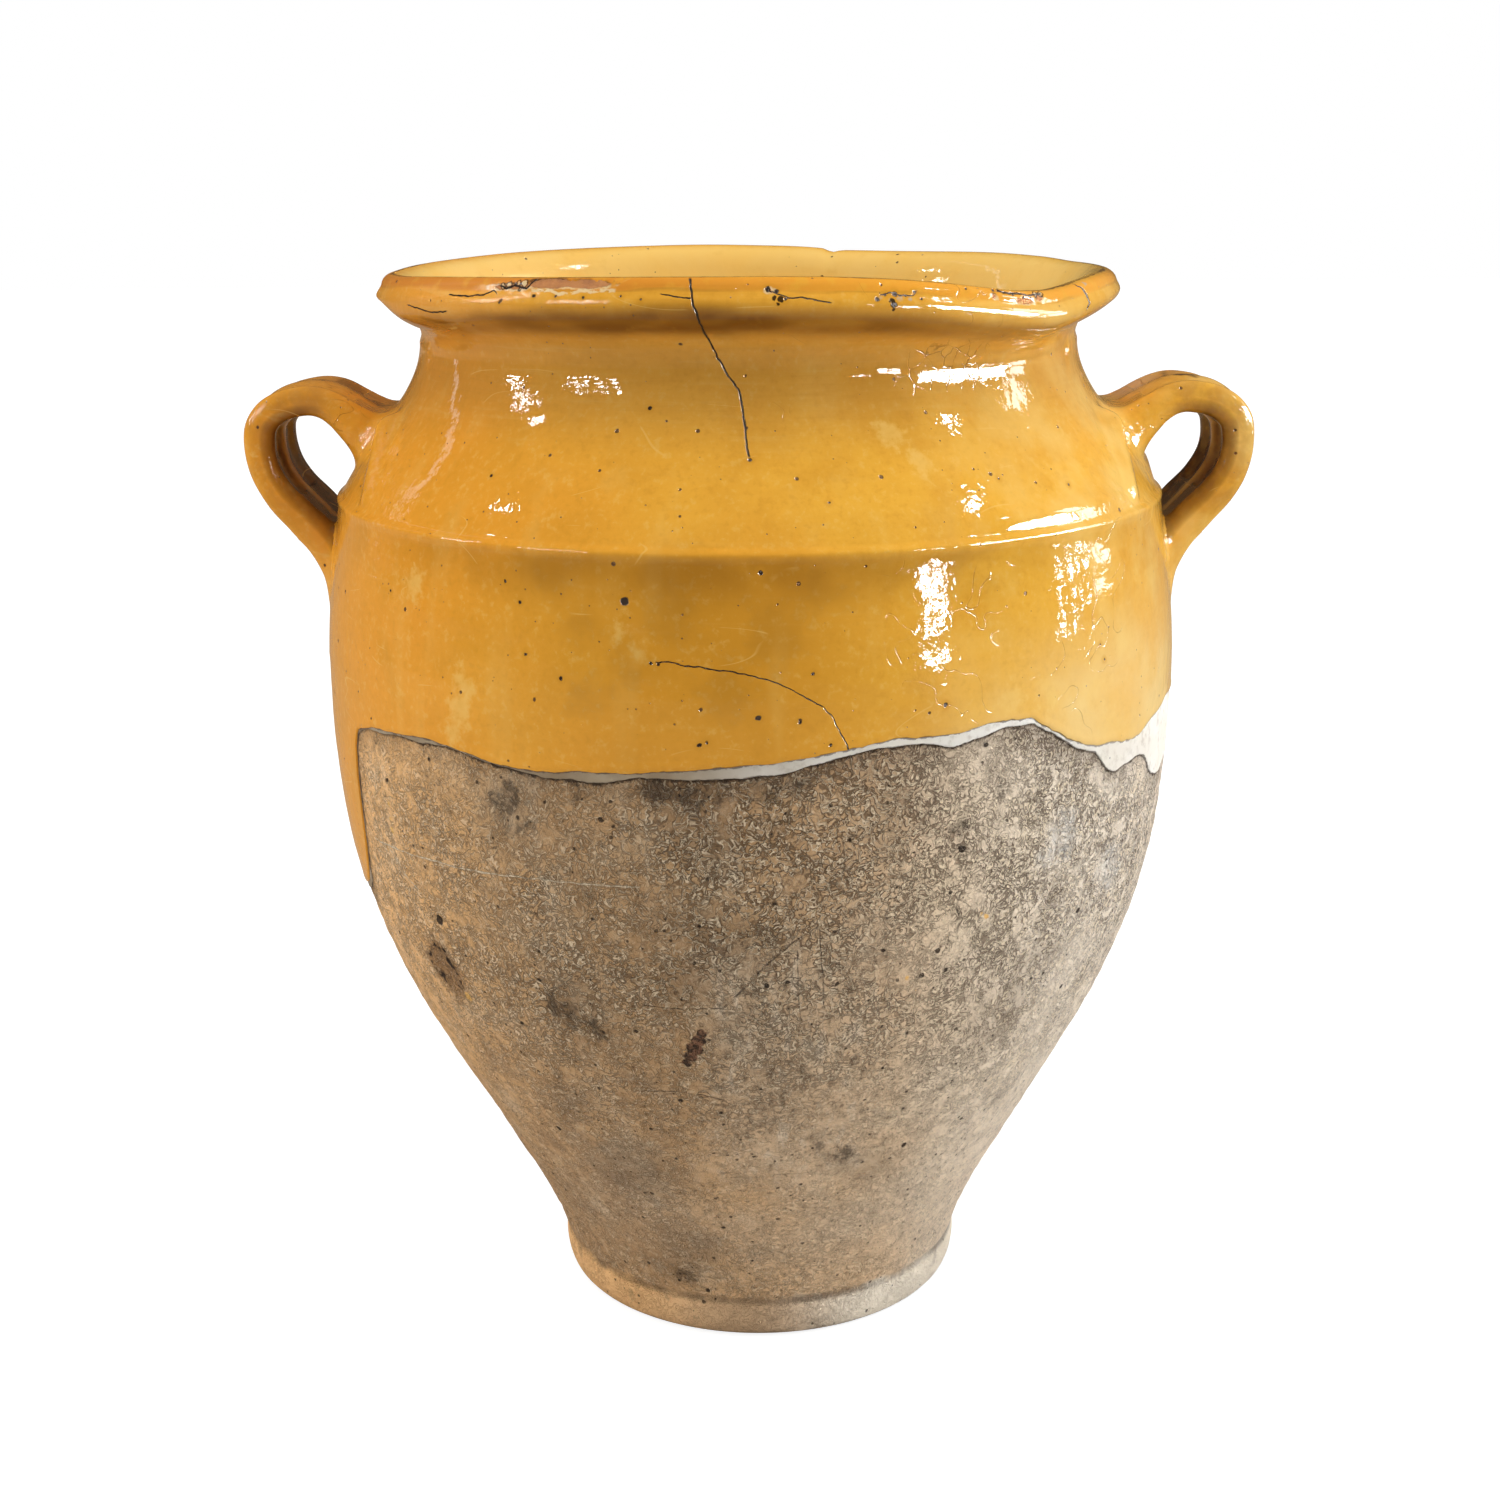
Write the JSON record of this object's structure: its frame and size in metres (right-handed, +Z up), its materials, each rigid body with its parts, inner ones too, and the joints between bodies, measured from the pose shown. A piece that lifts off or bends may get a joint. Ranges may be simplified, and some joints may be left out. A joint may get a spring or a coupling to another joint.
{
  "type": "confit jar",
  "caption": "Half-glazed earthenware confit jar: wide-mouthed ovoid pot with a rolled lip, a shoulder ridge and a strap handle on each side.",
  "frame": {"origin": "centre of the foot's flat underside, which is the middle of the bounding box's bottom", "axes": "+Z up along the pot's axis, towards the mouth; +X towards the handle on the right of the front view; -Y towards the front"},
  "size_m": [0.3296, 0.2814, 0.35],
  "materials": {
    "bare_clay": null,
    "handle_glaze": null,
    "white_slip": null,
    "outside_glaze": null,
    "inside_glaze": null
  },
  "bodies": {
    "root": {"jar_body": "bare_clay", "handle_left": "handle_glaze", "handle_right": "handle_glaze", "slip_coat": "white_slip", "glaze_coat": "outside_glaze", "glaze_lining": "inside_glaze"}
  },
  "joints": []
}
